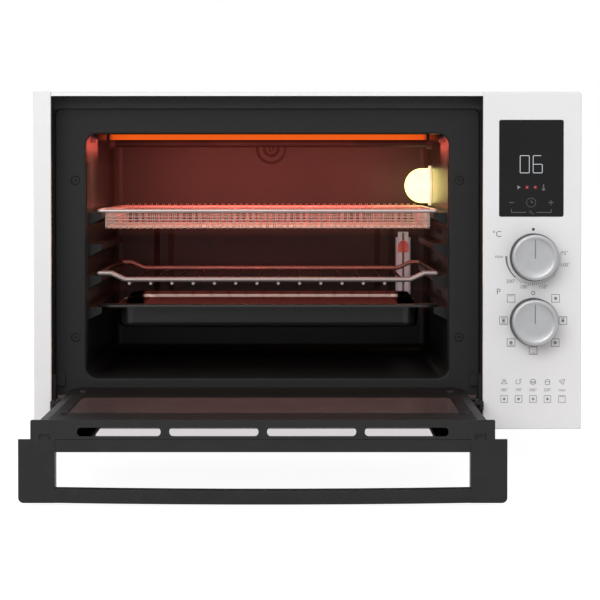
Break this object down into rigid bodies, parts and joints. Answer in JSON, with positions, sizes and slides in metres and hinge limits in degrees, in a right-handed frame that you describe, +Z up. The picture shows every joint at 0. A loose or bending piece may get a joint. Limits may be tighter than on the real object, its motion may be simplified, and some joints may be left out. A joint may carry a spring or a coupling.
{
  "type": "mini oven",
  "caption": "Countertop electric oven with a drop-down glass door, square handle, control panel with display and knobs, and a mesh basket, wire rack and tray that slide on side rails.",
  "frame": {"origin": "centre of the base of the bounding box, with the door open", "axes": "+X to the right seen from the front, +Y from the front to the back, +Z up"},
  "size_m": [0.543, 0.718, 0.368],
  "materials": {
    "white_enamel": "gloss",
    "grey_steel": "satin",
    "steel": "satin",
    "white_plastic": "satin",
    "rubber": "matte",
    "black_plastic": "satin",
    "black_enamel": "satin",
    "liner_enamel": "gloss",
    "mineral_wool": "matte",
    "hot_heater": "glowing",
    "dark_heater": "matte",
    "ceramic_white": "matte",
    "ceramic_dark": "matte",
    "lamp_light": "glowing",
    "clear_glass": "gloss",
    "tinted_glass": "gloss",
    "chrome": "polished",
    "copper": "satin",
    "brass": "satin",
    "display_black": "gloss",
    "circuit_green": "satin",
    "silver": "satin"
  },
  "bodies": {
    "oven": {"base_plate": "grey_steel", "bottom_heaters": "dark_heater", "casing_screws": "steel", "control_panel": "white_plastic", "cord_gland": "black_plastic", "display_board": "circuit_green", "display_window": "display_black", "fan_housing": "grey_steel", "fan_motor": "grey_steel", "feet": "white_plastic", "foot_pads": "rubber", "frame_screws": "black_enamel", "front_frame": "black_enamel", "grill_heater": "hot_heater", "heat_shield": "grey_steel", "heater_clips": "black_enamel", "heater_collars": "ceramic_dark", "hinge_brackets": "black_enamel", "hinge_pins": "steel", "insulation_mat": "mineral_wool", "lamp_bulb": "lamp_light", "lamp_glass": "clear_glass", "lamp_holder": "ceramic_white", "lamp_ring": "chrome", "outer_casing": "white_enamel", "oven_liner": "liner_enamel", "rear_cover": "grey_steel", "rear_spacers": "black_plastic", "selector_switch": "black_plastic", "sensor_bulb": "copper", "sensor_guard": "chrome", "side_liner_left": "liner_enamel", "side_liner_right": "liner_enamel", "terminal_block": "white_plastic", "thermostat": "grey_steel", "top_heater": "dark_heater"},
    "door": {"door_inner_panel": "black_enamel", "door_inner_glass": "tinted_glass", "door_glass_clips": "steel", "door_screws": "steel", "door_top_trim": "black_plastic", "door_side_rail_left": "grey_steel", "door_side_rail_right": "grey_steel", "door_hinge_bushes": "brass", "door_outer_glass": "tinted_glass", "handle_base": "black_plastic", "handle_grip": "black_plastic", "handle_posts": "black_plastic"},
    "rack": {"wire_rack": "chrome"},
    "basket": {"basket_rim": "chrome", "basket_mesh": "chrome"},
    "tray": {"baking_tray": "black_enamel"},
    "temperature_control": {"temperature_knob": "black_plastic", "temperature_knob_cap": "silver", "temperature_shaft": "steel"},
    "program_control": {"program_knob": "black_plastic", "program_knob_cap": "silver", "program_shaft": "steel"},
    "fan": {"fan_wheel": "grey_steel"}
  },
  "joints": [
    {"name": "door_hinge", "type": "hinge", "parent": "oven", "child": "door", "pos_m": [-0.03985, -0.0585, 0.0617], "axis": [-1, 0, 0], "range_deg": [0, 90]},
    {"name": "rack_slide", "type": "slide", "parent": "oven", "child": "rack", "axis": [0, 1, 0], "range_m": [-0.22, 0]},
    {"name": "basket_slide", "type": "slide", "parent": "oven", "child": "basket", "axis": [0, 1, 0], "range_m": [-0.22, 0]},
    {"name": "tray_slide", "type": "slide", "parent": "oven", "child": "tray", "axis": [0, 1, 0], "range_m": [-0.22, 0]},
    {"name": "temperature_turn", "type": "hinge", "parent": "oven", "child": "temperature_control", "pos_m": [0.2226, -0.073, 0.205], "axis": [0, 1, 0], "range_deg": [0, 270]},
    {"name": "program_turn", "type": "hinge", "parent": "oven", "child": "program_control", "pos_m": [0.2226, -0.073, 0.1414], "axis": [0, 1, 0], "range_deg": [0, 315]},
    {"name": "fan_spin", "type": "hinge", "parent": "oven", "child": "fan", "pos_m": [0.16, 0.105, 0.1876], "axis": [1, 0, 0], "continuous": true}
  ]
}
